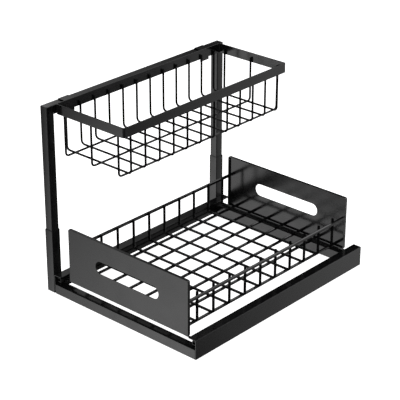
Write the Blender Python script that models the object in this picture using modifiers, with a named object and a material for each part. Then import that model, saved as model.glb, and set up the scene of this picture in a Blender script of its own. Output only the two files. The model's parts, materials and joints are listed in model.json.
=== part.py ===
"""Two-level under-cabinet organizer: a welded steel frame, a wire drawer on ball
slides and a wire basket that hangs on the top beam.

Metres, +Z up. The drawer pulls out towards -Y. The posts stand on the -X side.
The origin is at the centre of the footprint, on the cabinet floor."""

import bpy
import bmesh
from math import cos, sin, pi, radians
from mathutils import Matrix, Vector

# Whole object
overall_width = 0.3155
overall_depth = 0.400
beam_top = 0.3124
clearance = 0.0003
edge_round = 0.00025

# Posts: lower sleeves, upper tubes and the beam between them
sleeve_width = 0.0164
sleeve_wall = 0.0007
sleeve_height = 0.1073
tube_wall = 0.0009
tube_foot = 0.0200
tube_corner = 0.0010

# Base: cross bars and side rails of inverted L section
bar_depth = 0.0150
bar_height = 0.0160
bar_wall = 0.0010
rail_height = 0.0325
rail_flange = 0.0150
rail_sheet = 0.0014
rail_left_lift = 0.0042

# Ball slides under the rail flanges
slide_front_inset = 0.0040
slide_rear_inset = 0.0160
slide_height = 0.0142
slide_depth = 0.0090
slide_sheet = 0.0010
slide_lip = 0.0022
slide_back_gap = 0.0027
slide_web_stand_out = 0.0001
ball_diameter = 0.0024
ball_pitch = 0.0120
ball_end_margin = 0.0060
ball_count = 10
cage_sheet = 0.0005
cage_depth = 0.0050
ball_inset = 0.0026

# Drawer end panels, pressed as shallow pans
panel_side_gap = 0.0246
panel_height = 0.0921
panel_above_slide = 0.0012
panel_end_inset = 0.0102
panel_sheet = 0.0012
panel_flange = 0.0046
panel_corner = 0.0030
panel_edge_round = 0.0018
handle_length = 0.1320
handle_height = 0.0216
handle_rise = 0.0485

# Drawer wires: cross wires bent up at the sides, floor wires below them and side rods
cross_wire = 0.0043
cross_wire_count = 10
cross_wire_side_inset = 0.0073
cross_wire_end_inset = 0.0378
cross_wire_bend = 0.0040
cross_wire_rise = 0.0113
cross_wire_top = 0.0616
floor_wire = 0.0047
floor_wire_count = 7
floor_wire_left_inset = 0.0141
floor_wire_right_inset = 0.0085
side_rod = 0.0054
side_rod_rise = 0.0565

# Brackets that carry the end panels on the slides
bracket_sheet = 0.0012
bracket_length = 0.0200
bracket_overlap = 0.0100

# Basket rim, hooks and wires
rim_width = 0.1429
rim_front_inset = 0.0171
rim_rear_inset = 0.0134
rim_height = 0.0160
rim_sheet = 0.0015
rim_corner = 0.0032
rim_above_beam = 0.0024
hook_sheet = 0.0015
hook_width = 0.0200
hook_front_inset = 0.0462
hook_rear_inset = 0.0488
hook_drop = 0.0056
hook_tongue = 0.0060
hook_tongue_inset = 0.0016
basket_wire = 0.0034
basket_bend = 0.0060
basket_drop = 0.0659
basket_wire_overlap = 0.0085
short_wire_count = 12
short_wire_end_inset = 0.0171
long_wire_count = 3
long_wire_side_inset = 0.01535

# Shape steps
corner_steps = 3
bend_steps = 4
slot_end_steps = 12
panel_edge_steps = 3
wire_steps = 2
ball_sides = 8
ball_rings = 6
smooth_angle = radians(40)
bevel_angle = radians(60)

# Positions that follow from the sizes
left = -overall_width / 2
right = overall_width / 2
front = -overall_depth / 2
rear = overall_depth / 2
tube_width = sleeve_width - 2 * (sleeve_wall + clearance)
post_x = left + sleeve_width / 2
beam_front_x = post_x + tube_width / 2
left_wall = left + sleeve_width + clearance
left_rail_face = left_wall + rail_sheet
right_rail_face = right - rail_sheet
drawer_x = (left_wall + right) / 2
slide_z = rail_height - rail_sheet - clearance - slide_height / 2
slide_length = overall_depth - slide_front_inset - slide_rear_inset
slide_y = front + slide_front_inset + slide_length / 2
race_half = slide_height / 2 - slide_sheet
inner_half = race_half - ball_diameter - 2 * clearance
ball_z = race_half - clearance - ball_diameter / 2
panel_width = right - left_wall - 2 * panel_side_gap
panel_bottom = slide_z + panel_above_slide
panel_z = panel_bottom + panel_height / 2
panel_face = overall_depth / 2 - panel_end_inset
tray_side = panel_width / 2 - cross_wire_side_inset
cross_wire_z = panel_bottom + cross_wire_rise
floor_wire_z = cross_wire_z - cross_wire / 2 - clearance - floor_wire / 2
rim_length = overall_depth - rim_front_inset - rim_rear_inset
rim_y = (rim_front_inset - rim_rear_inset) / 2
rim_back = beam_front_x + 2 * clearance + hook_sheet
rim_x = rim_back + rim_width / 2
rim_top = beam_top + rim_above_beam
rim_bottom = rim_top - rim_height
long_wire_z = rim_bottom - basket_drop
short_wire_z = long_wire_z + basket_wire + clearance
tongue_x = post_x - tube_width / 2 + hook_tongue_inset + hook_sheet / 2


# Scene set-up

def clear_scene():
    for item in list(bpy.data.objects):
        bpy.data.objects.remove(item, do_unlink=True)


def new_collection(name):
    collection = bpy.data.collections.new(name)
    bpy.context.scene.collection.children.link(collection)
    return collection


def coat(name, colour, metallic, roughness):
    material = bpy.data.materials.new(name)
    material.use_nodes = True
    shader = material.node_tree.nodes["Principled BSDF"]
    shader.inputs["Base Color"].default_value = (*colour, 1)
    shader.inputs["Metallic"].default_value = metallic
    shader.inputs["Roughness"].default_value = roughness
    return material


def black_coat(name):
    return coat(name, (0.022, 0.022, 0.024), 0, 0.3)


# Outlines, as lists of points in a plane

def arc(centre_u, centre_v, radius, start, end, steps):
    angles = [start + (end - start) * step / steps for step in range(steps + 1)]
    return [(centre_u + radius * cos(angle), centre_v + radius * sin(angle)) for angle in angles]


def rectangle(width, height):
    return [(-width / 2, -height / 2), (width / 2, -height / 2), (width / 2, height / 2), (-width / 2, height / 2)]


def rounded_rectangle(width, height, radius):
    reach_u = width / 2 - radius
    reach_v = height / 2 - radius
    points = []
    for quarter, (side_u, side_v) in enumerate([(1, 1), (-1, 1), (-1, -1), (1, -1)]):
        start = quarter * pi / 2
        points += arc(side_u * reach_u, side_v * reach_v, radius, start, start + pi / 2, corner_steps)
    return points


def slot(length, height):
    reach = (length - height) / 2
    return (arc(reach, 0, height / 2, -pi / 2, pi / 2, slot_end_steps)
            + arc(-reach, 0, height / 2, pi / 2, 3 * pi / 2, slot_end_steps))


def u_bend(span, top, floor, bend):
    """Path of one wire: down, along the floor and up again."""
    reach = span / 2 - bend
    lower = arc(-reach, floor + bend, bend, pi, 3 * pi / 2, bend_steps)
    upper = arc(reach, floor + bend, bend, 3 * pi / 2, 2 * pi, bend_steps)
    return [(-span / 2, top)] + lower + upper + [(span / 2, top)]


# Frames: outline axes u and v, then the extrusion axis

def along_x(centre):
    return Matrix.Translation(centre) @ Matrix(((0, 0, 1, 0), (1, 0, 0, 0), (0, 1, 0, 0), (0, 0, 0, 1)))


def along_y(centre):
    return Matrix.Translation(centre) @ Matrix(((1, 0, 0, 0), (0, 0, -1, 0), (0, 1, 0, 0), (0, 0, 0, 1)))


def along_z(centre):
    return Matrix.Translation(centre)


# Solids

def mesh_from(shape):
    mesh = bpy.data.meshes.new("shape")
    shape.to_mesh(mesh)
    shape.free()
    return mesh


def mesh_of(item):
    evaluated = item.evaluated_get(bpy.context.evaluated_depsgraph_get())
    shape = bmesh.new()
    shape.from_mesh(bpy.data.meshes.new_from_object(evaluated))
    bmesh.ops.remove_doubles(shape, verts=shape.verts, dist=clearance / 100)
    bmesh.ops.recalc_face_normals(shape, faces=shape.faces)
    return mesh_from(shape)


def box(size):
    shape = bmesh.new()
    bmesh.ops.create_cube(shape, size=1, matrix=Matrix.Diagonal((*size, 1)))
    return mesh_from(shape)


def sphere(diameter):
    shape = bmesh.new()
    bmesh.ops.create_uvsphere(shape, u_segments=ball_sides, v_segments=ball_rings, radius=diameter / 2)
    return mesh_from(shape)


def converted(curve):
    holder = bpy.data.objects.new("outline", curve)
    bpy.context.scene.collection.objects.link(holder)
    bpy.context.view_layer.update()
    mesh = mesh_of(holder)
    bpy.data.objects.remove(holder, do_unlink=True)
    return mesh


def prism(loops, length):
    """Extrude an outline, with its holes, half the length each way."""
    curve = bpy.data.curves.new("outline", "CURVE")
    curve.dimensions = "2D"
    curve.fill_mode = "BOTH"
    curve.extrude = length / 2
    for loop in loops:
        spline = curve.splines.new("POLY")
        spline.points.add(len(loop) - 1)
        for point, (u, v) in zip(spline.points, loop):
            point.co = (u, v, 0, 1)
        spline.use_cyclic_u = True
    return converted(curve)


def opened(mesh):
    """Take the cap off the low end of a prism."""
    shape = bmesh.new()
    shape.from_mesh(mesh)
    cap = [face for face in shape.faces if all(vertex.co.z < 0 for vertex in face.verts)]
    bmesh.ops.delete(shape, geom=cap, context="FACES")
    return mesh_from(shape)


def wire(path, diameter):
    """Round wire along an open path."""
    curve = bpy.data.curves.new("wire", "CURVE")
    curve.dimensions = "3D"
    curve.bevel_depth = diameter / 2
    curve.bevel_resolution = wire_steps
    curve.use_fill_caps = True
    spline = curve.splines.new("POLY")
    spline.points.add(len(path) - 1)
    for point, place in zip(spline.points, path):
        point.co = (*place, 1)
    return converted(curve)


def joined(pieces):
    """One mesh from several, each moved by its own matrix."""
    shape = bmesh.new()
    for mesh, placing in pieces:
        moved = mesh.copy()
        moved.transform(placing)
        shape.from_mesh(moved)
    return mesh_from(shape)


def add_node(name, mesh, material, placing, carrier=None):
    if not mesh.materials:
        mesh.shade_smooth()
        mesh.set_sharp_from_angle(angle=smooth_angle)
        mesh.materials.append(material)
    item = bpy.data.objects.new(name, mesh)
    parts.objects.link(item)
    if carrier:
        item.parent = carrier
        item.matrix_parent_inverse = carrier.matrix_world.inverted()
    item.matrix_world = placing
    return item


def add_carrier(name, place):
    """Empty that carries the pieces of one moving group."""
    item = bpy.data.objects.new(name, None)
    parts.objects.link(item)
    item.matrix_world = Matrix.Translation(place)
    bpy.context.view_layer.update()
    return item


def add_cutter(name, mesh, placing):
    item = bpy.data.objects.new(name, mesh)
    cutters.objects.link(item)
    item.matrix_world = placing
    item.hide_render = True
    item.display_type = "WIRE"
    return item


def cut(item, cutter):
    modifier = item.modifiers.new(cutter.name, "BOOLEAN")
    modifier.operation = "DIFFERENCE"
    modifier.solver = "EXACT"
    modifier.object = cutter


def unite(item, other):
    modifier = item.modifiers.new(other.name, "BOOLEAN")
    modifier.operation = "UNION"
    modifier.solver = "EXACT"
    modifier.object = other


def round_edges(item, width, segments=1):
    modifier = item.modifiers.new("edge", "BEVEL")
    modifier.width = width
    modifier.segments = segments
    modifier.limit_method = "ANGLE"
    modifier.angle_limit = bevel_angle
    modifier.harden_normals = True


def thicken(item, sheet):
    """Give an open surface its sheet thickness, on the inside."""
    modifier = item.modifiers.new("sheet", "SOLIDIFY")
    modifier.solidify_mode = "NON_MANIFOLD"
    modifier.nonmanifold_thickness_mode = "CONSTRAINTS"
    modifier.nonmanifold_boundary_mode = "NONE"
    modifier.thickness = sheet
    modifier.offset = -1


def spread(count, pitch):
    """Evenly spaced places, centred on zero."""
    return [(index - (count - 1) / 2) * pitch for index in range(count)]


def between(count, start, end):
    """Evenly spaced places from one end to the other."""
    return [start + (end - start) * index / (count - 1) for index in range(count)]


def hook_places():
    return [front + hook_front_inset, rear - hook_rear_inset]


def slide_sides():
    """Label, rail face and direction towards the drawer."""
    return (("left", left_rail_face, 1), ("right", right_rail_face, -1))


def square_tube(width, wall):
    inner = width - 2 * wall
    return [rounded_rectangle(width, width, tube_corner),
            rounded_rectangle(inner, inner, tube_corner - wall / 2)]


# Base

def build_cross_bars(material):
    start = left_rail_face + clearance
    end = right_rail_face - clearance
    outline = rectangle(bar_depth, bar_height)
    hollow = rectangle(bar_depth - 2 * bar_wall, bar_height - 2 * bar_wall)
    mesh = prism([outline, hollow], end - start)
    for name, y in (("base_front_bar", front + bar_depth / 2), ("base_rear_bar", rear - bar_depth / 2)):
        centre = Vector(((start + end) / 2, y, bar_height / 2))
        bar = add_node(name, mesh, material, along_x(centre))
        round_edges(bar, edge_round)


def build_rails(material):
    """Inverted L sections. The left one, between the posts, stops short of the floor."""
    for name, wall, side, foot in (("rail_left", left_wall, 1, rail_left_lift), ("rail_right", right, -1, 0)):
        inner = side * rail_sheet
        edge = side * rail_flange
        outline = [(0, foot), (0, rail_height), (edge, rail_height),
                   (edge, rail_height - rail_sheet), (inner, rail_height - rail_sheet), (inner, foot)]
        rail = add_node(name, prism([outline], overall_depth), material, along_y(Vector((wall, 0, 0))))
        round_edges(rail, edge_round)


# Posts and beam

def build_sleeves(material):
    mesh = prism(square_tube(sleeve_width, sleeve_wall), sleeve_height)
    for name, y in (("post_sleeve_front", front + sleeve_width / 2), ("post_sleeve_rear", rear - sleeve_width / 2)):
        sleeve = add_node(name, mesh, material, along_z(Vector((post_x, y, sleeve_height / 2))))
        round_edges(sleeve, edge_round)


def build_post_tubes(material):
    """Tubes whose upper end is mitred at 45 degrees, highest at the outer face."""
    length = beam_top - tube_foot
    for name, side in (("post_tube_front", 1), ("post_tube_rear", -1)):
        mesh = prism(square_tube(tube_width, tube_wall), length)
        for vertex in mesh.vertices:
            if vertex.co.z > 0:
                vertex.co.z = length / 2 - tube_width / 2 - side * vertex.co.y
        y = side * (front + sleeve_width / 2)
        add_node(name, mesh, material, along_z(Vector((post_x, y, tube_foot + length / 2))))


def build_top_beam(material):
    """Tube mitred at both ends, with two slots for the hooks."""
    reach = overall_depth / 2 - sleeve_width / 2 - 2 * clearance
    mesh = prism(square_tube(tube_width, tube_wall), 2 * reach)
    for vertex in mesh.vertices:
        end = reach + vertex.co.y
        vertex.co.z = end if vertex.co.z > 0 else -end
    beam = add_node("top_beam", mesh, material, along_y(Vector((post_x, 0, beam_top - tube_width / 2))))
    opening = box((hook_sheet + 2 * clearance, hook_width + 2 * clearance, 2 * hook_tongue))
    slots = [(opening, along_z(Vector((tongue_x, y, beam_top)))) for y in hook_places()]
    cut(beam, add_cutter("hook_slots", joined(slots), Matrix.Identity(4)))


# Ball slides

def mirrored(points, side):
    return [(side * u, v) for u, v in points]


def both_halves(upper):
    """Upper half of an outline and its mirror image below."""
    return upper + [(u, -v) for u, v in reversed(upper)]


def outer_outline():
    """C section open towards the drawer, with its lips turned in."""
    half = slide_height / 2
    step = slide_depth - slide_sheet
    return both_halves([(slide_sheet, race_half), (step, race_half), (step, half - slide_lip),
                        (slide_depth, half - slide_lip), (slide_depth, half), (0, half)])


def inner_outline():
    """C section open towards the rail, its web just outside the lips."""
    web_face = slide_depth + slide_web_stand_out
    web = web_face - slide_sheet
    return both_halves([(web, inner_half - slide_sheet), (slide_back_gap, inner_half - slide_sheet),
                        (slide_back_gap, inner_half), (web_face, inner_half)])


def build_slides(material, drawer):
    for label, wall, side in slide_sides():
        placing = along_y(Vector((wall + side * clearance, slide_y, slide_z)))
        outer = prism([mirrored(outer_outline(), side)], slide_length)
        add_node("slide_outer_" + label, outer, material, placing)
        inner = prism([mirrored(inner_outline(), side)], slide_length)
        add_node("slide_inner_" + label, inner, material, placing, drawer)


def cage_outline():
    """Thin C section that holds both rows of balls apart."""
    back = slide_sheet + clearance
    web = back + cage_sheet
    outer = ball_z + cage_sheet / 2
    return both_halves([(web, outer - cage_sheet), (back + cage_depth, outer - cage_sheet),
                        (back + cage_depth, outer), (back, outer)])


def build_ball_cages(material, carrier):
    cage_length = ball_pitch * (ball_count - 1) + 2 * ball_end_margin
    ball = sphere(ball_diameter)
    for label, wall, side in slide_sides():
        placing = along_y(Vector((wall + side * clearance, slide_y, slide_z)))
        mesh = prism([mirrored(cage_outline(), side)], cage_length)
        cage = add_node("ball_cage_" + label, mesh, material, placing, carrier)
        x = side * (slide_sheet + clearance + cage_depth - ball_inset)
        spots = [Vector((x, height, place)) for height in (ball_z, -ball_z)
                 for place in spread(ball_count, ball_pitch)]
        rows = joined([(ball, Matrix.Translation(spot)) for spot in spots])
        unite(cage, add_cutter("ball_rows_" + label, rows, placing))


# Brackets between slides and drawer panels

def build_brackets(material, drawer):
    """Angle on the slide's inner member with a narrow tab under the panel."""
    top = panel_bottom - clearance
    foot = slide_z - inner_half
    for slide_label, wall, side in slide_sides():
        leg = wall + side * (2 * clearance + slide_depth + slide_web_stand_out)
        reach = abs(drawer_x - leg) - panel_width / 2 + bracket_overlap
        outline = [(0, foot), (0, top), (reach, top), (reach, top - bracket_sheet),
                   (bracket_sheet, top - bracket_sheet), (bracket_sheet, foot)]
        notch_width = reach - bracket_sheet
        notch = box((notch_width, bracket_length, 2 * (bracket_sheet + clearance)))
        for label, end, inward in (("front", -panel_face, 1), ("rear", panel_face, -1)):
            name = "bracket_" + label + "_" + slide_label
            start = end + inward * panel_edge_round
            placing = along_y(Vector((leg, start + inward * bracket_length / 2, 0)))
            mesh = prism([mirrored(outline, side)], bracket_length)
            bracket = add_node(name, mesh, material, placing, drawer)
            notch_x = leg + side * (2 * bracket_sheet + notch_width / 2)
            notch_y = end + inward * (panel_flange + bracket_length / 2)
            centre = Vector((notch_x, notch_y, top - bracket_sheet / 2))
            cut(bracket, add_cutter(name + "_notch", notch, along_z(centre)))


# Drawer

def build_panels(material, drawer):
    outline = rounded_rectangle(panel_width, panel_height, panel_corner)
    pan = opened(prism([outline], panel_flange))
    handle = prism([slot(handle_length, handle_height)], 2 * panel_flange)
    for label, side, turn in (("front", -1, 0), ("rear", 1, pi)):
        name = "drawer_" + label + "_panel"
        centre = Vector((drawer_x, side * (panel_face - panel_flange / 2), panel_z))
        placing = Matrix.Translation(centre) @ Matrix.Rotation(turn, 4, "Z") @ along_y(Vector())
        panel = add_node(name, pan, material, placing, drawer)
        round_edges(panel, panel_edge_round, panel_edge_steps)
        thicken(panel, panel_sheet)
        handle_centre = Vector((drawer_x, side * panel_face, panel_bottom + handle_rise))
        cut(panel, add_cutter(name + "_handle", handle, along_y(handle_centre)))


def build_cross_wires(material, drawer):
    top = panel_bottom + cross_wire_top
    bend = u_bend(2 * tray_side, top, cross_wire_z, cross_wire_bend)
    mesh = wire([(u, 0, v) for u, v in bend], cross_wire)
    places = between(cross_wire_count, front + cross_wire_end_inset, rear - cross_wire_end_inset)
    for number, y in enumerate(places, 1):
        name = "drawer_cross_wire_%02d" % number
        add_node(name, mesh, material, Matrix.Translation((drawer_x, y, 0)), drawer)


def build_floor_wires(material, drawer):
    """Straight wires that end just short of the panels' inner faces."""
    end = panel_face - panel_sheet - clearance
    mesh = wire([(0, -end, 0), (0, end, 0)], floor_wire)
    places = between(floor_wire_count, floor_wire_left_inset - tray_side, tray_side - floor_wire_right_inset)
    for number, x in enumerate(places, 1):
        name = "drawer_floor_wire_%d" % number
        add_node(name, mesh, material, Matrix.Translation((drawer_x + x, 0, floor_wire_z)), drawer)


def build_side_rods(material, drawer):
    """Rods outside the cross wires that end just short of the panels' flanges."""
    end = panel_face - panel_flange - clearance
    reach = tray_side + cross_wire / 2 + clearance + side_rod / 2
    mesh = wire([(0, -end, 0), (0, end, 0)], side_rod)
    for label, side in (("left", -1), ("right", 1)):
        place = Matrix.Translation((drawer_x + side * reach, 0, panel_bottom + side_rod_rise))
        add_node("drawer_rod_" + label, mesh, material, place, drawer)


# Basket

def build_rim(material, basket):
    outline = rounded_rectangle(rim_width, rim_length, rim_corner)
    hollow = rounded_rectangle(rim_width - 2 * rim_sheet, rim_length - 2 * rim_sheet, rim_corner - rim_sheet)
    centre = Vector((rim_x, rim_y, rim_top - rim_height / 2))
    rim = add_node("basket_rim", prism([outline, hollow], rim_height), material, along_z(centre), basket)
    round_edges(rim, edge_round)


def build_basket_wires(material, basket):
    """Short wires across the basket, on long wires that run along it."""
    gap = rim_sheet + clearance + basket_wire / 2
    top = rim_bottom + basket_wire_overlap
    bend = u_bend(rim_width - 2 * gap, top, short_wire_z, basket_bend)
    mesh = wire([(u, 0, v) for u, v in bend], basket_wire)
    reach = rim_length / 2 - short_wire_end_inset
    for number, y in enumerate(between(short_wire_count, -reach, reach), 1):
        name = "basket_cross_wire_%02d" % number
        add_node(name, mesh, material, Matrix.Translation((rim_x, rim_y + y, 0)), basket)
    bend = u_bend(rim_length - 2 * gap, top, long_wire_z, basket_bend)
    mesh = wire([(0, u, v) for u, v in bend], basket_wire)
    reach = rim_width / 2 - long_wire_side_inset
    for number, x in enumerate(between(long_wire_count, -reach, reach), 1):
        name = "basket_long_wire_%d" % number
        add_node(name, mesh, material, Matrix.Translation((rim_x + x, rim_y, 0)), basket)


def build_hooks(material, basket):
    """Strap from behind the rim, over the beam and down into its slot."""
    leg_face = rim_back - clearance
    leg_back = leg_face - hook_sheet
    foot = rim_bottom - hook_drop
    seat = beam_top + clearance
    crown = seat + hook_sheet
    tip = beam_top - hook_tongue
    tongue_back = tongue_x - hook_sheet / 2
    tongue_face = tongue_x + hook_sheet / 2
    outline = [(leg_face, foot), (leg_face, crown), (tongue_back, crown), (tongue_back, tip),
               (tongue_face, tip), (tongue_face, seat), (leg_back, seat), (leg_back, foot)]
    mesh = prism([outline], hook_width)
    for label, y in zip(("front", "rear"), hook_places()):
        hook = add_node("basket_hook_" + label, mesh, material, along_y(Vector((0, y, 0))), basket)
        round_edges(hook, edge_round)


clear_scene()
parts = new_collection("under_cabinet_organizer")
cutters = new_collection("cutters")
drawer_carrier = add_carrier("drawer", Vector((drawer_x, 0, slide_z)))
cage_carrier = add_carrier("ball_cages", Vector((drawer_x, 0, slide_z)))
basket_carrier = add_carrier("basket", Vector((post_x, 0, beam_top)))
frame_coat = black_coat("frame_black")
build_cross_bars(frame_coat)
build_rails(frame_coat)
build_sleeves(frame_coat)
build_post_tubes(frame_coat)
build_top_beam(frame_coat)
build_slides(coat("slide_black", (0.03, 0.03, 0.032), 0, 0.35), drawer_carrier)
build_ball_cages(coat("ball_steel", (0.6, 0.6, 0.62), 1, 0.2), cage_carrier)
drawer_coat = black_coat("drawer_black")
build_brackets(drawer_coat, drawer_carrier)
build_panels(drawer_coat, drawer_carrier)
wire_coat = black_coat("wire_black")
build_cross_wires(wire_coat, drawer_carrier)
build_floor_wires(wire_coat, drawer_carrier)
build_side_rods(wire_coat, drawer_carrier)
basket_coat = black_coat("basket_black")
build_rim(basket_coat, basket_carrier)
build_basket_wires(basket_coat, basket_carrier)
build_hooks(basket_coat, basket_carrier)
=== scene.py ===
"""Looks, light and camera for the under-cabinet organizer. Metres, in the part's frame."""

import json
from math import cos, radians, sin

import bpy
import numpy as np
from mathutils import Matrix, Vector

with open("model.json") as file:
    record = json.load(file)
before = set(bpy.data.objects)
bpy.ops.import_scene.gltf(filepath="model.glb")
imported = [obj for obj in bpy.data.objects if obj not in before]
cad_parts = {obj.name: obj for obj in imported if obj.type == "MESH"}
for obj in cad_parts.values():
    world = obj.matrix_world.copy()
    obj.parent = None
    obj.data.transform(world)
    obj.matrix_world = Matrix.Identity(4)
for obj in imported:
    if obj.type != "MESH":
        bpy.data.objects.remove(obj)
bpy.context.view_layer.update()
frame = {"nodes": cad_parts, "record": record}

# Camera, fitted to the photograph: angles in radians, lens and sensor in millimetres
camera_place = Vector((1.37413, -1.54626, 1.12000))
camera_azimuth = 0.73175
camera_elevation = 0.44378
camera_roll = -0.00234
camera_lens = 131.538
camera_sensor = 36.0

# Plain light: where the lamps point, and the strength of the world away from camera and gloss
lamp_target = Vector((0, 0, 0.15))
world_light = 0.5

# Soft cards around the part, which only gloss shows. Each has a brightness and the ramps that bound
# it. A ramp names a part of the direction in which the card stands, x+y being the sum of both, then
# the value where the card begins and the value where it is full.
cards = {
    "front": (2.0, [("x", -0.713, -0.6), ("x", -0.46, -0.53), ("y", -0.2, -0.45), ("z", -0.1, -0.3)]),
    "back": (0.8, [("y", 0.607, 0.74), ("x", -0.1, 0.3), ("z", 0.1, -0.2)]),
    "back_top": (2.6, [("y", 0.52, 0.75), ("x", -0.36, -0.1), ("z", -0.1, 0.5)]),
    "left": (0.5, [("x+y", 0.095, -0.085), ("y", 0.4, 0.55), ("z", 0.1, 0.25)]),
    "right": (0.2, [("x", 0.1, 0.5), ("y", 0.1, -0.3), ("z", 0.1, -0.2)]),
    "behind": (0.12, [("x", 0.1, -0.3), ("y", 0.1, 0.4), ("z", 0.0, -0.2)]),
}

# Floor: half of its side, its gap to the part, its two tones, and what it adds for the camera
floor_half = 12.0
floor_gap = 0.0005
floor_dark = (0.80, 0.80, 0.80)
floor_pale = (0.82, 0.82, 0.82)
floor_glow = 0.95

# Noise: the values that it mostly stays between, and its scales in cells per metre
noise_low = 0.3
noise_high = 0.7
floor_scale = 3.0
cloud_scale = 35.0
peel_scale = 520.0
mark_scale = 900.0
grain_scale = 2600.0

# Black coat: its two tones, and the grain: its part in the roughness, and its depth as a share of
# the orange peel's
coat_dark = (0.003, 0.003, 0.0032)
coat_pale = (0.006, 0.006, 0.0063)
grain_roughness = 0.015
grain_depth = 1 / 8

# Bright steel: its two tones and its least and greatest roughness
steel_dark = (0.45, 0.45, 0.47)
steel_pale = (0.62, 0.62, 0.64)
steel_roughness = (0.18, 0.3)

# Smooth shading: the angle between faces from which an edge stays sharp, as its cosine, and how
# close two places are that count as one
crease_cosine = cos(radians(40))
weld_step = 1e-6


# Smooth shading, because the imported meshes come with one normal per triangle

def read_all(items, attribute, width=1, kind=float):
    """Reads an attribute of all items: a number for each, or a row where width is above 1."""
    values = np.zeros(len(items) * width, kind)
    items.foreach_get(attribute, values)
    if width > 1:
        values = values.reshape(-1, width)
    return values


def corner_normals(mesh):
    """Averages the normals of the triangles that meet at a corner below the crease angle."""
    places = np.round(read_all(mesh.vertices, "co", 3) / weld_step).astype(int)
    normals = read_all(mesh.polygon_normals, "vector", 3)
    areas = read_all(mesh.polygons, "area")
    faces = np.repeat(np.arange(len(mesh.polygons)), read_all(mesh.polygons, "loop_total", kind=int))
    corners = [tuple(place) for place in places[read_all(mesh.loops, "vertex_index", kind=int)]]
    meeting = {}
    for corner, face in zip(corners, faces):
        meeting.setdefault(corner, []).append(face)
    smooth = []
    for corner, face in zip(corners, faces):
        near = np.array(meeting[corner])
        near = near[normals[near] @ normals[face] > crease_cosine]
        total = (normals[near] * areas[near, None]).sum(0)
        smooth.append((total / np.linalg.norm(total)).tolist())
    return smooth


def smooth_nodes(nodes):
    """Makes round forms look round and keeps the edges of the others sharp."""
    for node in nodes.values():
        mesh = node.data
        mesh.shade_smooth()
        mesh.normals_split_custom_set(corner_normals(mesh))


# Node helpers

class Graph:
    """Short way to add shader nodes and link them."""

    def __init__(self, owner):
        owner.use_nodes = True
        self.tree = owner.node_tree
        self.tree.nodes.clear()

    def add(self, kind, inputs=(), **settings):
        """Adds a node. An input is a value, or the output of another node, which gets linked."""
        node = self.tree.nodes.new("ShaderNode" + kind)
        for key, value in settings.items():
            setattr(node, key, value)
        for socket, value in dict(inputs).items():
            if isinstance(value, bpy.types.NodeSocket):
                self.tree.links.new(value, node.inputs[socket])
            else:
                node.inputs[socket].default_value = value
        return node


def span(graph, value, low, high, start=noise_low, end=noise_high):
    """Maps a value that runs from start to end, by default a noise value, to low to high."""
    inputs = {"Value": value, "From Min": start, "From Max": end, "To Min": low, "To Max": high}
    return graph.add("MapRange", inputs).outputs["Result"]


def noise(graph, place, scale, detail):
    """Cloudy values over a surface."""
    inputs = {"Vector": place, "Scale": scale, "Detail": detail}
    return graph.add("TexNoise", inputs).outputs["Fac"]


def combined(graph, operation, values):
    """Adds or multiplies a row of values."""
    result = values[0]
    for value in values[1:]:
        result = graph.add("Math", {0: result, 1: value}, operation=operation).outputs[0]
    return result


def blended(graph, share, first, second):
    """Mixes two colours."""
    inputs = {"Factor": share, "A": (*first, 1), "B": (*second, 1)}
    return graph.add("Mix", inputs, data_type="RGBA").outputs["Result"]


# Materials

def coated_steel(name, roughness, peel, ior):
    """Black coat on steel, with orange peel, fine grain, uneven gloss and slightly uneven colour."""
    material = bpy.data.materials.new(name)
    graph = Graph(material)
    place = graph.add("TexCoord").outputs["Object"]
    cloud = noise(graph, place, cloud_scale, detail=4.0)
    grain = noise(graph, place, grain_scale, detail=2.0)
    tone = blended(graph, span(graph, cloud, 0.0, 1.0), coat_dark, coat_pale)
    uneven = span(graph, cloud, *roughness)
    gloss = combined(graph, "ADD", [uneven, span(graph, grain, -grain_roughness, grain_roughness)])
    dimples = noise(graph, place, peel_scale, detail=3.0)
    coarse = graph.add("Bump", {"Height": dimples, "Strength": 1.0, "Distance": peel})
    fine = graph.add("Bump", {"Height": grain, "Strength": 1.0, "Distance": peel * grain_depth,
                              "Normal": coarse.outputs["Normal"]})
    shader = graph.add("BsdfPrincipled", {"Base Color": tone, "Roughness": gloss,
                                          "Normal": fine.outputs["Normal"], "IOR": ior})
    graph.add("OutputMaterial", {"Surface": shader.outputs["BSDF"]})
    return material


def bright_steel(name):
    """Bare steel with fine marks."""
    material = bpy.data.materials.new(name)
    graph = Graph(material)
    place = graph.add("TexCoord").outputs["Object"]
    marks = noise(graph, place, mark_scale, detail=3.0)
    tone = blended(graph, span(graph, marks, 0.0, 1.0), steel_dark, steel_pale)
    shader = graph.add("BsdfPrincipled", {"Base Color": tone, "Metallic": 1.0,
                                          "Roughness": span(graph, marks, *steel_roughness)})
    graph.add("OutputMaterial", {"Surface": shader.outputs["BSDF"]})
    return material


def dress_nodes():
    """Gives each node the material of its slot. The peel is a depth in metres."""
    looks = {
        "frame_black": coated_steel("frame_coat", roughness=(0.16, 0.22), peel=2e-6, ior=1.5),
        "slide_black": coated_steel("slide_coat", roughness=(0.22, 0.30), peel=3e-6, ior=1.3),
        "ball_steel": bright_steel("slide_balls"),
        "drawer_black": coated_steel("drawer_coat", roughness=(0.18, 0.22), peel=1.5e-6, ior=1.5),
        "wire_black": coated_steel("wire_coat", roughness=(0.14, 0.2), peel=2e-6, ior=1.5),
        "basket_black": coated_steel("basket_coat", roughness=(0.14, 0.2), peel=2e-6, ior=1.5),
    }
    for entry in frame["record"]["subparts"]:
        mesh = frame["nodes"][entry["node"]].data
        mesh.materials.clear()
        mesh.materials.append(looks[entry["material_slot"]])


# Surroundings

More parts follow.
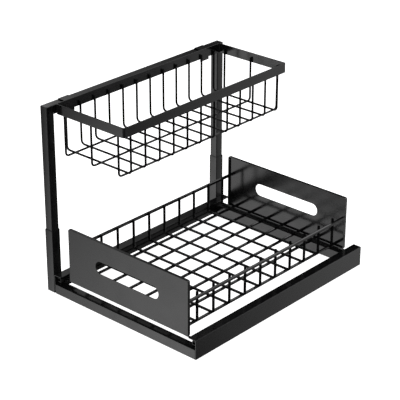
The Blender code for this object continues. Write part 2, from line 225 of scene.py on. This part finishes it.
def make_floor():
    """White floor with a faint shadow, which gloss doesn't show."""
    corners = [(-floor_half, -floor_half, 0), (floor_half, -floor_half, 0),
               (floor_half, floor_half, 0), (-floor_half, floor_half, 0)]
    mesh = bpy.data.meshes.new("floor")
    mesh.from_pydata(corners, [], [(0, 1, 2, 3)])
    floor = bpy.data.objects.new("floor", mesh)
    bpy.context.scene.collection.objects.link(floor)
    floor.location.z = -floor_gap
    material = bpy.data.materials.new("floor_white")
    graph = Graph(material)
    place = graph.add("TexCoord").outputs["Object"]
    tone = blended(graph, noise(graph, place, floor_scale, detail=3.0), floor_dark, floor_pale)
    matte = graph.add("BsdfDiffuse", {"Color": tone})
    strength = span(graph, graph.add("LightPath").outputs["Is Camera Ray"], 0, floor_glow, 0, 1)
    glow = graph.add("Emission", {"Color": (1, 1, 1, 1), "Strength": strength})
    both = graph.add("AddShader", {0: matte.outputs[0], 1: glow.outputs[0]})
    graph.add("OutputMaterial", {"Surface": both.outputs[0]})
    mesh.materials.append(material)
    floor.visible_glossy = False


def make_world():
    """White to the camera, soft cards on black to gloss, and the same all round to the rest."""
    world = bpy.data.worlds.new("studio")
    bpy.context.scene.world = world
    graph = Graph(world)
    rays = graph.add("LightPath").outputs
    direction = graph.add("TexCoord").outputs["Generated"]
    x, y, z = graph.add("SeparateXYZ", {0: direction}).outputs
    parts = {"x": x, "y": y, "z": z, "x+y": combined(graph, "ADD", [x, y])}
    glows = []
    for brightness, ramps in cards.values():
        shares = [span(graph, parts[part], 0, 1, start, full) for part, start, full in ramps]
        glows.append(combined(graph, "MULTIPLY", [*shares, brightness]))
    glow = combined(graph, "ADD", glows)
    level = span(graph, rays["Is Glossy Ray"], world_light, glow, 0, 1)
    around = graph.add("Background", {"Color": (1, 1, 1, 1), "Strength": level})
    white = graph.add("Background", {"Color": (1, 1, 1, 1), "Strength": 1.0})
    mixed = graph.add("MixShader", {0: rays["Is Camera Ray"], 1: around.outputs[0],
                                    2: white.outputs[0]})
    graph.add("OutputWorld", {"Surface": mixed.outputs[0]})


def outward(azimuth, elevation):
    """Direction away from the part, from angles in radians; azimuth 0 is the front."""
    return Vector((sin(azimuth) * cos(elevation), -cos(azimuth) * cos(elevation), sin(elevation)))


def add_lamp(name, reach, azimuth, elevation, width, height, power):
    """Soft box that faces the middle of the part; azimuth 0 is the front, 90 degrees the right."""
    lamp = bpy.data.lights.new(name, "AREA")
    lamp.shape = "RECTANGLE"
    lamp.size = width
    lamp.size_y = height
    lamp.energy = power
    item = bpy.data.objects.new(name, lamp)
    bpy.context.scene.collection.objects.link(item)
    away = outward(radians(azimuth), radians(elevation))
    item.location = lamp_target + away * reach
    item.rotation_mode = "QUATERNION"
    item.rotation_quaternion = (-away).to_track_quat("-Z", "Y")
    item.visible_camera = False


def make_lamps():
    """Plain soft light from the front, the left and above."""
    add_lamp("front", reach=0.85, azimuth=0, elevation=12, width=0.6, height=0.36, power=1.2)
    add_lamp("left", reach=0.85, azimuth=270, elevation=40, width=0.6, height=0.6, power=1.0)
    add_lamp("top", reach=2.5, azimuth=0, elevation=78, width=1.5, height=1.5, power=12)


def make_camera():
    """Sets the camera where the photograph was taken from, with its slight roll."""
    back = outward(camera_azimuth, camera_elevation)
    right = Vector((0, 0, 1)).cross(back).normalized()
    up = back.cross(right)
    turned_right = right * cos(camera_roll) - up * sin(camera_roll)
    turned_up = right * sin(camera_roll) + up * cos(camera_roll)
    camera = bpy.data.cameras.new("camera")
    camera.lens = camera_lens
    camera.sensor_width = camera_sensor
    item = bpy.data.objects.new("camera", camera)
    bpy.context.scene.collection.objects.link(item)
    turn = Matrix((turned_right, turned_up, back)).transposed().to_4x4()
    item.matrix_world = Matrix.Translation(camera_place) @ turn
    bpy.context.scene.camera = item


smooth_nodes(frame["nodes"])
dress_nodes()
make_floor()
make_world()
make_lamps()
make_camera()
bpy.context.scene.view_settings.view_transform = "Standard"
